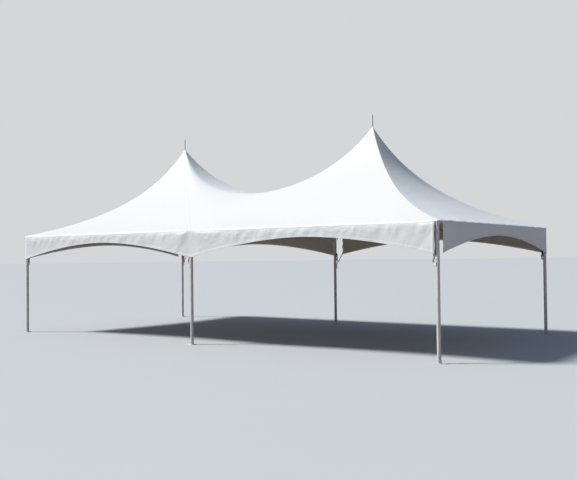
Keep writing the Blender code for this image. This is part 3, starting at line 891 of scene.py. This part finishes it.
def vinyl(name, base, tint, hem_shade):
    """Glossy coating over a woven scrim, with welded seams, a hem, creases, streaks and dust."""
    finish, place = new_finish(name)
    seam = place.measured("from_seam")
    hem = place.measured("from_hem")
    fall = place.measured("fall")
    spread = place.measured("spread")
    downhill = spread.pair(0.11 * fall)
    clear = seam.between(SEAM_HALF, 1.3 * SEAM_HALF)
    on_roof = 1 - fall.between(HALF_Y - 0.004, HALF_Y - 0.001)
    in_hem = 1 - hem.between(HEM - 0.001, HEM + 0.001)
    in_seam = on_roof * (1 - seam.between(SEAM_HALF - 0.001, SEAM_HALF + 0.001))
    hem_line = 1 - abs(hem - HEM).between(0.001, 0.0035)
    seam_line = on_roof * (1 - abs(seam - SEAM_HALF).between(0.0015, 0.0045))
    cloud = place.noise(0.7, 4.0, 0.55)
    streak = clear * downhill.noise(7.0, 4.0, 0.6)
    dirt = (0.5 * cloud + 0.5 * streak).between(0.46, 0.76)
    colour = in_hem.blend(base, hem_shade)
    colour = (0.45 * dirt).blend(colour, tint)
    # The seam band is painted paler: partly the doubled sheet, partly a painted highlight along the
    # hips.
    colour = in_seam.blend(colour, toned(base, SEAM_PALE_AND_HIGHLIGHT))
    colour = (0.40 * seam_line.maths("MAXIMUM", seam_line, hem_line)).blend(colour, toned(base, 0.5))

    pulls = clear * downhill.noise(26.0)
    below = fall.between(HALF_Y, HALF_Y + 0.04) * (1 - fall.between(HALF_Y + 0.06, HALF_Y + 0.32))
    slanting = (spread + 0.45 * fall).pair(0.35 * fall)
    drawn = below * slanting.noise(13.0, 3.0) * spread.pair(3.0).noise(2.3).between(0.38, 0.62)
    beside_seam = on_roof * clear * (1 - seam.between(0.05, 0.32))
    gathers = beside_seam * (5.0 * seam).pair(24.0 * fall).noise(1.0, 3.0, 0.6)
    folds = place.node("TexVoronoi", {"feature": "DISTANCE_TO_EDGE"}, {"Vector": place, "Scale": 1.3})
    normal = None
    for height, strength, distance in (
            (place.noise(2.2, 6.0, 0.62), 0.30, 0.012), (place.noise(8.5, 4.0, 0.62), 0.42, 0.014),
            (gathers, 0.35, 0.012), (pulls, 0.10, 0.006), (drawn, 0.50, 0.016),
            (folds.between(0.0, 0.02), 0.12, 0.002), (place.noise(900.0, 1.0), 0.08, 0.0006)):
        normal = height.bump(strength, distance, normal)
    return apply(finish, colour, 0.36 + 0.10 * cloud + 0.12 * dirt, normal)


VINYL_OUTSIDE = vinyl("white_vinyl_outside", VINYL_WHITE, (0.77, 0.77, 0.76), toned(VINYL_WHITE, 0.96))
# The inside's finish carries that painted shade in its darker, warmer base colour.
VINYL_UNDER_PAINTED_SHADE = vinyl("white_vinyl_inside_painted_shade", VINYL_INSIDE_PAINTED_SHADE, toned(VINYL_INSIDE_PAINTED_SHADE, 0.8), VINYL_WHITE)


def ease(value, low, high):
    """0 at low and 1 at high, smooth between; low may be the greater."""
    t = min(1, max(0, (value - low) / (high - low)))
    return t * t * (3 - 2 * t)


def wander(x, y, z, scale):
    """Smooth noise from -1 to 1."""
    return noise.noise(Vector((x, y, z)) * scale)


def slope_share(r):
    return (1 - r) / (1 + STEEPNESS * r)


def roof_z(x, y):
    """Height of the sheet over a point of the plan, without its folds."""
    side = slope_share(min(1, abs(y) / HALF_Y))
    if abs(x) >= MAST_X:
        end = slope_share(min(1, (abs(x) - MAST_X) / (HALF_X - MAST_X)))
        return EAVE_Z - SHEET_DROP + RISE * min(side, end)
    towards_middle = 1 - abs(x) / MAST_X
    valley = SADDLE_Z + (PEAK_Z - SADDLE_Z) * (1 - towards_middle) ** 2 / (1 + towards_middle)
    slope = EAVE_Z + RISE * side
    width = SADDLE_SOFTNESS * (1 - (x / MAST_X) ** 2)
    near = max(0.0, 1 - abs(slope - valley) / width) if width > 0 else 0.0
    return min(slope, valley) - width / 4 * near * near - SHEET_DROP


def arch_drop(share):
    """Depth of the valance below the eaves, by the share of its bay."""
    return VALANCE_MID_BAY + (VALANCE_AT_LEGS - VALANCE_MID_BAY) * abs(2 * share - 1) ** VALANCE_ARCH


class Gore:
    """One face of a peak, between its two hips, with the valance that hangs from its eave."""

    def __init__(self, side, start, end, slits=(0, 0), ripple=0.014, curl=0.010, crown=0.03):
        self.peak = Vector((side * MAST_X, 0))
        self.start = Vector((start[0] * HALF_X, start[1] * HALF_Y))
        self.end = Vector((end[0] * HALF_X, end[1] * HALF_Y))
        self.width = (self.end - self.start).length
        self.along = (self.end - self.start).normalized()
        self.outward = Vector((self.along.y, -self.along.x))
        self.in_saddle = not start[0] and not end[0]
        self.slits = slits
        self.ripple = ripple
        self.curl = curl
        self.crown = crown
        self.seed = 3 * side + 1.7 * start[0] + 2.3 * end[1]
        self.base = 0.0

    def spread(self, offset, seam=False):
        """Distance round the tent of a point at the eave, so that streaks pass from face to face."""
        if not self.in_saddle:
            return self.base + offset
        y = (self.start + self.along * offset).y
        if not seam:
            return y
        return HALF_X + 2 * HALF_Y if y > 0 else 3 * HALF_X + 4 * HALF_Y

    def fold(self, offset):
        """Radius of the fold over the eave."""
        radius = EAVE_FOLD * (1 + 0.28 * wander(offset, self.seed, 3, 5.5))
        return LEG_FOLD + (radius - LEG_FOLD) * ease(min(offset, self.width - offset), 0.07, 0.25)

    def columns(self, share, skipped):
        """Distances along the row at this share of the way down; the seams have columns of their own."""
        width = self.width * share
        if not skipped:
            return [width * k / 4 for k in range(5)]
        seam = [SEAM_HALF * math.sqrt(2) * part for part in SEAM_COLUMNS]
        shares = [i / FINEST for i in range(FINEST + 1)]
        for slit, anchor in zip(self.slits, (0, FINEST)):
            if slit:
                goal = abs(anchor / FINEST - (slit - seam[-1]) / (self.width - 2 * seam[-1]))
                nearest = min(range(1, FINEST), key=lambda i: abs(shares[i] - goal))
                shift = goal - shares[nearest]
                for i in range(1, FINEST):
                    outer = (i - nearest) * (anchor - nearest) > 0
                    reach = abs(i - nearest) / (max(1, abs(anchor - nearest)) if outer else 12)
                    shares[i] += shift * max(0, 1 - reach)
        inner = width - 2 * seam[-1]
        kept = [seam[-1] + inner * shares[i] for i in range(0, FINEST + 1, skipped)]
        return seam[:-1] + kept + [width - part for part in reversed(seam[:-1])]

    def roof_point(self, share, offset, seam):
        """A point of the roof: its slope, its swell, the puckers at the eaves and the seam."""
        plan = self.peak.lerp(self.start, share) + self.along * offset
        across = offset / (self.width * share)
        hip_off = self.from_hip(share, offset)
        swell = 4 * share * (1 - share)
        bow = 4 * across * (1 - across)
        z = roof_z(*plan) + self.crown * bow * swell ** (1 + self.in_saddle) * ease(share, 0.018, 0.10)
        z += 0.006 * wander(*plan, 3, 0.9) * ease(hip_off, 0.03, 0.8) * ease(share, 0.97, 0.7)
        inside = HALF_Y - abs(plan.y) if self.in_saddle else (1 - share) * HALF_Y
        radius = LEG_FOLD if self.in_saddle else self.fold(offset / share)
        if inside < radius:
            z -= radius - math.sqrt(max(0, radius ** 2 - (radius - inside) ** 2))
        if not self.in_saddle:
            there = self.spread(offset / share)
            pucker = wander(there, 0, inside * 0.5 + 7, 6.0) + 0.5 * wander(there, 5, inside, 13.0)
            lifted = ease(inside, 0.55, 0.04) * ease(inside, 0.0, 0.04) * ease(hip_off, 0.03, 0.12)
            z += 0.011 * max(0, 0.35 + pucker) * lifted
        return Vector((*plan, z + (SEAM_RISE if seam else 0)))

    def from_hip(self, share, offset):
        return min(offset, self.width * share - offset) * math.sqrt(0.5)

    def hang(self, offset, depth, above_hem):
        """How far a point of the valance stands out, and how far it is shifted along."""
        near = min(offset, self.width - offset)
        slit = self.slits[offset > self.width / 2]
        corner = self.end if offset > self.width / 2 else self.start
        there = self.spread(offset)
        held = 1.0 if slit else ease(near, 0.0, 0.5)
        tied = 1.0 if slit else ease(near, 0.0, 0.09 if corner.x else 0.34)
        phase = offset * 2 * math.pi / 0.83 + 2.2 * wander(offset, self.seed, 0, 0.7)
        wave = (0.5 + 0.5 * math.sin(phase)) * (0.6 + 0.4 * wander(offset, self.seed, 2, 1.3))
        out = 0.018 * ease(depth, 0.0, 0.45) * held * wave
        crease = wander(there + 0.45 * depth, 4, 0.4 * depth, 7.0)
        crease += 0.3 * wander(there - 0.3 * depth, 9, depth, 15.0)
        out += 0.013 * max(0, 0.35 + crease) * tied * ease(depth, 0.36, 0.08) * ease(depth, 0.0, 0.09)
        away = math.hypot(depth, near)
        rays = wander(math.atan2(depth, near + 0.02) * 1.9, self.seed, 5 + away * 0.5, 3.3)
        out += 0.013 * max(0, 0.3 + rays) * tied * ease(away, 1.1, 0.35) * ease(away, 0.04, 0.16)
        out += 0.0022 * ease(above_hem, 0.010, 0.0) * tied * (1 + 0.5 * wander(there, 4, 8, 5.0))
        if not corner.x:
            beside = ease(near - 0.8 * depth, 0.0, 0.10) * ease(near, 1.2, 0.5)
            out += 0.013 * beside * ease(depth, 0.0, 0.05)
        shift = 0
        if slit:
            free = ease(above_hem, 0.0, 0.16) * ease(depth, 0.0, 0.10)
            swing = math.sin(depth * 2 * math.pi / 0.21 + self.seed)
            out += (self.curl + 0.4 * self.ripple * swing) * free * ease(near, slit + 0.07, slit)
            shift = self.ripple * (swing + 0.6) * 0.6 * free * ease(near, slit + 0.22, slit)
        return FURTHEST_OUT * math.tanh(out / FURTHEST_OUT), -shift if offset > self.width / 2 else shift

    def valance_rows(self, offsets):
        """Rows below the fold: each gives plan, height and what the finish needs, for these offsets."""
        levels = [(k / VALANCE_ROWS, None) for k in range(1, VALANCE_ROWS)]
        for part, above in levels + [(None, share * HEM) for share in STITCHED]:
            row = []
            for offset in offsets:
                top = EAVE_Z - SHEET_DROP - self.fold(offset)
                bottom = EAVE_Z - arch_drop(offset / self.width)
                z = bottom + above if part is None else top - (top - bottom - HEM * STITCHED[0]) * part
                out, shift = self.hang(offset, top - z, z - bottom)
                if part is None and above < HEM:
                    out += HEM_RISE if above else 0.4 * HEM_RISE
                plan = self.start + self.along * (offset + shift) + self.outward * out
                edges = [z - bottom]
                for corner, slit, way in ((self.start, self.slits[0], 1), (self.end, self.slits[1], -1)):
                    if slit:
                        edges.append(abs((offset if way > 0 else self.width - offset) - slit))
                    elif corner.x and (plan - corner).length < 0.001:
                        plan += (self.along * way - self.outward) * CORNER_PULL
                row.append((plan, z, min(edges), self.spread(offset), HALF_Y + top - z))
            yield row


class Sheet:
    """The mesh of the tent top, drawn gore by gore."""

    def __init__(self):
        self.shape = bmesh.new()
        floats = self.shape.verts.layers.float
        for name in SHEET_MARKS:
            floats.new(name)

    def put(self, point, *marks):
        """A point, with what the finish reads there."""
        vert = self.shape.verts.new(point)
        for name, value in zip(SHEET_MARKS, marks):
            vert[self.shape.verts.layers.float[name]] = value
        return vert

    def join(self, upper, lower):
        """Faces between two rows; the lower one may be finer, but for its seams' own columns."""
        last, own = len(upper) - 1, len(SEAM_COLUMNS) - 1
        if last == 4:
            cuts = [round(k * (len(lower) - 1) / 4) for k in range(5)]
        else:
            added = len(lower) - len(upper)
            cuts = [i + (min(max(i - own, 0), added) if added else 0) for i in range(last + 1)]
        for i in range(last):
            self.shape.faces.new([upper[i]] + lower[cuts[i]:cuts[i + 1] + 1] + [upper[i + 1]])

    def draw(self, gore):
        rows = [(half / HALF_Y, 0) for half in PEAK_ROWS]
        low = SEAMS_FROM / HALF_Y
        for high, count, skipped in ROW_GROUPS:
            power = 1.5 if len(rows) == len(PEAK_ROWS) else 1
            rows += [(low + (high - low) * (i / count) ** power, skipped) for i in range(count)]
            low = high
        for i in range(FOLD_ROWS + 1):
            rows.append((1 - EAVE_FOLD * (1 - math.sin(math.pi / 2 * i / FOLD_ROWS)) / HALF_Y, 1))
        furthest = HALF_Y - 0.01 if gore.in_saddle else HALF_Y
        previous = None
        for share, skipped in rows:
            offsets = gore.columns(share, skipped)
            row = []
            for number, offset in enumerate(offsets):
                seam = not skipped or number < 2 or number > len(offsets) - 3
                marks = (gore.from_hip(share, offset), 1.0, gore.spread(offset / share, seam),
                         min(share * HALF_Y, furthest))
                row.append(self.put(gore.roof_point(share, offset, seam), *marks))
            if previous:
                self.join(previous, row)
            previous = row
        if gore.in_saddle:
            return
        count = range(len(offsets))
        first = min(count, key=lambda i: abs(offsets[i] - gore.slits[0]))
        last = min(count, key=lambda i: abs(offsets[i] - gore.width + gore.slits[1])) + 1
        previous = previous[first:last]
        for points in gore.valance_rows(offsets[first:last]):
            row = [self.put((*plan, z), 1.0, *marks) for plan, z, *marks in points]
            self.join(previous, row)
            previous = row


def tent_top():
    sheet = Sheet()
    reached = 0.0
    for gore in (
            Gore(1, (1, -1), (1, 1), (SLIT_END, 0), 0.006, 0.006, crown=0.075),
            Gore(1, (1, 1), (0, 1), (0, SLIT_MIDDLE_RIGHT)),
            Gore(-1, (0, 1), (-1, 1), (SLIT_MIDDLE_LEFT, SLIT_BACK)),
            Gore(-1, (-1, 1), (-1, -1), (SLIT_END, 0), crown=0.075),
            Gore(-1, (-1, -1), (0, -1)),
            Gore(1, (0, -1), (1, -1), (0, SLIT_FRONT), 0.006, 0.024),
            Gore(1, (0, 1), (0, -1), crown=0.02),
            Gore(-1, (0, -1), (0, 1), crown=0.02)):
        gore.base = reached
        reached += gore.width
        sheet.draw(gore)
    shape = sheet.shape
    bmesh.ops.remove_doubles(shape, verts=shape.verts[:], dist=WELDED_WITHIN)
    bmesh.ops.recalc_face_normals(shape, faces=shape.faces[:])
    if sum(face.normal.z * face.calc_area() for face in shape.faces) < 0:
        bmesh.ops.reverse_faces(shape, faces=shape.faces[:])
    area = sum(face.calc_area() for face in shape.faces)
    mesh = bpy.data.meshes.new("tent_top")
    shape.to_mesh(mesh)
    shape.free()
    mesh.shade_smooth()
    mesh.materials.append(VINYL_OUTSIDE)
    # The inside takes the finish with the painted shade.
    mesh.materials.append(VINYL_UNDER_PAINTED_SHADE)
    top = stand("tent_top", mesh)
    thick = top.modifiers.new("coating_thickness", "SOLIDIFY")
    thick.thickness = SHEET_THICKNESS
    thick.offset = -1
    thick.material_offset = 1
    thick.material_offset_rim = 0
    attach(top, "root")
    bays = [a + "_" + b for a in ("front", "back", "end") for b in ("right", "left")]
    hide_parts("roof_saddle", *[cloth + bay for cloth in ("roof_", "valance_") for bay in bays])


tent_top()


# Peak caps
# A collar of the same vinyl is welded over each peak. It is square at its foot, where it lies on
# the four slopes, and closes to a round sleeve that hugs the mast's pin.
CAP_PROFILE = [(0.0496, 0.0), (0.040, 0.0225), (0.030, 0.0455), (0.021, 0.066), (0.0155, 0.081),
               (0.0125, 0.092), (0.0108, 0.102), (0.0102, 0.111), (0.0112, 0.113), (0.0108, 0.115),
               (0.0088, 0.115)]
CAP_INSIDE = (-0.0012, -0.0014)  # from the outer side to the inner one
CAP_OFF_ROOF = 0.0016


def peak_cap(bay):
    """Rings that turn from a square to a circle on the way up, and back down inside the wall."""
    sheet = Sheet()
    foot_z = roof_z(MAST_X + CAP_PROFILE[0][0], 0) + CAP_OFF_ROOF
    centre = Vector((BAYS[bay] * MAST_X, 0, foot_z))
    inner = [(half + CAP_INSIDE[0], rise + CAP_INSIDE[1]) for half, rise in CAP_PROFILE[-5::-1]]
    rows = []
    for half, rise in CAP_PROFILE + inner:
        square = ease(half, 0.014, 0.045)
        row = []
        for spot in disc(1, 48):
            corner = min(1 / max(abs(spot.x), abs(spot.y)), 1.36)
            point = spot * half * (1 + (corner - 1) * square)
            marks = (1.0, max(0.0, rise) + 0.05, point.x, rise)
            row.append(sheet.put(centre + Vector((*point, rise)), *marks))
        rows.append(row)
    for one, other in zip(rows, rows[1:] + rows[:1]):
        join_rings(sheet.shape, one, other)
    new_piece("peak_collar_" + bay, sheet.shape, VINYL_OUTSIDE, "peak_cap_" + bay)


for bay in BAYS:
    peak_cap(bay)


# Tension straps
# White polyester webbing, 45 mm wide, sewn inside the sheet's edge beside each leg. It comes down
# with a quarter turn to the spool of a dark steel ratchet on the leg, and draws the sheet down.
STRAP_SIDES = {"front_right": -1, "front_middle": -1, "front_left": 1,
               "back_right": -1, "back_middle": 1, "back_left": 1}
WEB_HALF = 0.0225
WEB_THICKNESS = 0.0025
WEB_TOP = 2.588
WEB_STEP = 0.012
WEB_SEWN = Vector((0.062, 0.0388, 0))  # from the leg axis: along the tent, and out to the sheet
WEB_LOW = Vector((0.0429, 0, 0))       # and where it lies flat beside the leg
TURN_FROM, TURN_TO = 2.50, 2.36
SPOOL = (0.0554, 2.005)
COIL = (0.0125, 0.0173)                # radius of the webbing's coil from its first turn to its last
COIL_TURNS = 1.7
TAIL_TOP = 2.004
SIDE_PLATE = [(0.0392, 1.958, 0.002), (0.0500, 1.956, 0.004), (0.0715, 1.984, 0.006),
              (0.0715, 2.030, 0.006), (0.0500, 2.066, 0.004), (0.0392, 2.066, 0.002)]
HANDLE_ARM = [(0.0500, 1.907, 0.006), (0.0655, 1.903, 0.006), (0.0685, 2.012, 0.008),
              (0.0450, 2.016, 0.008)]
BASE_HALF = 0.0236
GEAR_TEETH = 12
TOOTH = ((0.0165, 0.0), (0.0165, 0.35), (0.0132, 0.45), (0.0132, 0.9))  # radius, share of its pitch
CROSS_BARS = (                # middle, radius and half length
    (SPOOL, 0.0065, 0.0345), ((0.0585, 1.9155), 0.0068, 0.0300), ((0.0470, 2.055), 0.0035, 0.028))


def webbing():
    """Chevron weave with bound edges, a little grey from handling."""
    finish, place = new_finish("white_webbing")
    along = place.measured("along")
    across = place.measured("across")
    chevron = (along * 2600.0 + abs(across) * 1500.0).wave()
    rows = (across * 4200.0).wave()
    bound = abs(across).between(0.019, 0.021)
    handled = place.noise(30.0, 4.0, 0.6).between(0.4, 0.72)
    colour = handled.blend((0.84, 0.835, 0.81), (0.66, 0.65, 0.61))
    colour = (0.18 * rows.between(0.6, 1.0) + 0.12 * bound).blend(colour, (0.50, 0.49, 0.46))
    height = 0.6 * chevron + 0.3 * rows + 0.8 * bound
    return apply(finish, colour, 0.78 + 0.12 * handled, height.bump(0.35, 0.0006))


WEBBING = webbing()


def strap_shape():
    shape = bmesh.new()
    shape.verts.layers.float.new("along")
    shape.verts.layers.float.new("across")
    return shape


def beside_leg(label):
    """The place with X along the tent from the leg on its strap's side, Y out of the tent and Z up."""
    sx, sy, _ = LEGS[label]
    return Matrix.Translation(on_leg(sx, sy)) @ Matrix.Diagonal((STRAP_SIDES[label], sy, 1, 1))


def flat_section(half, thickness):
    """Section of a flat strap, its edges rounded."""
    t = thickness / 2
    near, middle = half - t, half / 3
    below = [(-near, -t), (-middle, -t), (middle, -t), (near, -t)]
    return [(-half, 0), *below, (half, 0), *[(across, t) for across, _ in reversed(below)]]


def lay(shape, place, points, section, side, **how):
    """A strap along points that are given from the leg."""
    path = [place @ Vector(point) for point in points]
    sweep(shape, path, section, place.to_3x3() @ Vector(side), **how)


def own_seed(label, step):
    """A number of its own for each leg, so that no two straps hang alike."""
    return step * (list(LEGS).index(label) + 1)


def strap_web(label):
    place = beside_leg(label)
    shape = strap_shape()
    section = flat_section(WEB_HALF, WEB_THICKNESS)
    points = []
    height = WEB_TOP
    while height > SPOOL[1] + 0.004:
        points.append(WEB_SEWN.lerp(WEB_LOW, ease(height, TURN_FROM, TURN_TO)) + UP * height)
        height -= WEB_STEP
    for step in range(33):
        angle = math.pi * (1 + 2 * COIL_TURNS * step / 32)
        radius = COIL[0] + (COIL[1] - COIL[0]) * step / 32
        points.append((SPOOL[0] + radius * math.cos(angle), 0, SPOOL[1] + radius * math.sin(angle)))
    start, length = WEB_TOP - TURN_FROM, TURN_FROM - TURN_TO + 0.01
    quarter = place.determinant() * math.pi / 2
    lay(shape, place, points, section, (1, 0, 0),
        twist=lambda off: quarter * ease(off, start, start + length))
    seed = own_seed(label, 7.3)
    tail = [(0.0705, 0, TAIL_TOP)]
    for step in range(1, 17):
        lean = 0.010 * math.sin(step * 0.55 + seed) + 0.006 * wander(step * 0.21, seed, 0, 1.0)
        tail.append((0.0745 + lean * step / 10, 0, TAIL_TOP - 0.0105 * step))
    lay(shape, place, tail, section, (0, 1, 0), twist=lambda off: 0.9 * ease(off, 0.04, 0.2))
    new_piece("strap_web_" + label, shape, WEBBING, "tension_strap_" + label)


def ratchet(label):
    """Two side plates on a base, a toothed wheel and a handle's arm outside each, three bars across."""
    place = beside_leg(label)
    shape = bmesh.new()
    upright = Matrix.Rotation(math.pi / 2, 4, "X")
    wheel = []
    for tooth in range(GEAR_TEETH):
        for reach, lead in TOOTH:
            angle = 2 * math.pi * (tooth + lead) / GEAR_TEETH
            wheel.append(on_circle(*SPOOL, reach, angle))
    plates = ((rounded(SIDE_PLATE, 4), 0.0251, 0.0022), (wheel, 0.0278, 0.0024),
              (rounded(HANDLE_ARM, 4), 0.0304, 0.0020))
    for outline, away, thickness in plates:
        for face in (-1, 1):
            middle = Matrix.Translation((0, face * away + thickness / 2, 0))
            add_plate(shape, outline, [], thickness, place @ middle @ upright, 0.0004)
    low, high, b = SIDE_PLATE[0][1] + 0.006, SIDE_PLATE[-1][1] - 0.006, BASE_HALF
    base = rounded([(low, -b, 0.003), (high, -b, 0.003), (high, b, 0.003), (low, b, 0.003)], 4)
    flat = Matrix(((0, 0, 1, 0.0386), (0, 1, 0, 0), (1, 0, 0, 0), (0, 0, 0, 1)))
    add_plate(shape, base, [], 0.0022, place @ flat, 0.0004)
    for (x, z), radius, half in CROSS_BARS:
        ends = aim(place @ Vector((x, -half, z)), place @ Vector((x, half, z)))
        rod(shape, ends, radius, 0, 2 * half, 20, 0.001)
    new_piece("ratchet_" + label, shape, DARK_STEEL, "tension_strap_" + label)


for label in LEGS:
    strap_web(label)
    ratchet(label)


# Corner ties
# A narrow white strap is sewn to the valance's lower corner at each leg, goes round the leg in a
# loop and hangs with a short free end, so that the wind can't lift the valance.
TIES = {                      # along the tent to the sewn end, its height, and the loop's height
    "front_right": (0.050, 2.016, 1.925),
    "front_middle": (0.046, 2.004, 1.890),
    "front_left": (0.048, 2.014, 1.905),
    "back_right": (0.048, 2.014, 1.905),
    "back_middle": (0.232, 2.045, 1.735),
    "back_left": (0.150, 2.038, 1.838),
}
TIE_HALF = 0.0125
TIE_THICKNESS = 0.0018
TIE_ROUND = 0.0394            # radius of the loop, to its middle
LOOP_SLANT = 0.18
SEWN_OUT = 0.0392
KNOT = (0.030, 0.030, 0.008)  # from the loop's middle
SAG = 0.035                   # share of the distance from the sewn end to the knot


def corner_tie(label):
    place = beside_leg(label)
    shape = strap_shape()
    reach, sewn, height = TIES[label]
    section = flat_section(TIE_HALF, TIE_THICKNESS)
    loop = [(*spot, height + LOOP_SLANT * spot.x) for spot in disc(TIE_ROUND, 40)]
    lay(shape, place, loop, section, UP, closed=True)
    start = Vector((reach, SEWN_OUT, sewn))
    knot = Vector(KNOT) + UP * height
    slack = Vector((0, 0.0014, -SAG * (start - knot).length))
    points = [start + UP * 0.03, start + UP * 0.015]
    for step in range(17):
        t = step / 16
        points.append(start.lerp(knot, t) + slack * 4 * t * (1 - t))
    lay(shape, place, points, section, (knot - start).cross((0, 1, 0)) * place.determinant())
    seed = own_seed(label, 3.1)
    tail = []
    for step in range(15):
        wave = 0.007 * math.sin(step * 0.8 + seed)
        tail.append((0.0315 + wave * step / 8, 0.0335 + 0.0012 * step, knot.z - 0.0095 * step))
    lay(shape, place, tail, section, (1, 0.2, 0), twist=lambda off: 5.0 * off)
    new_piece("corner_tie_" + label, shape, WEBBING)


for label in LEGS:
    corner_tie(label)
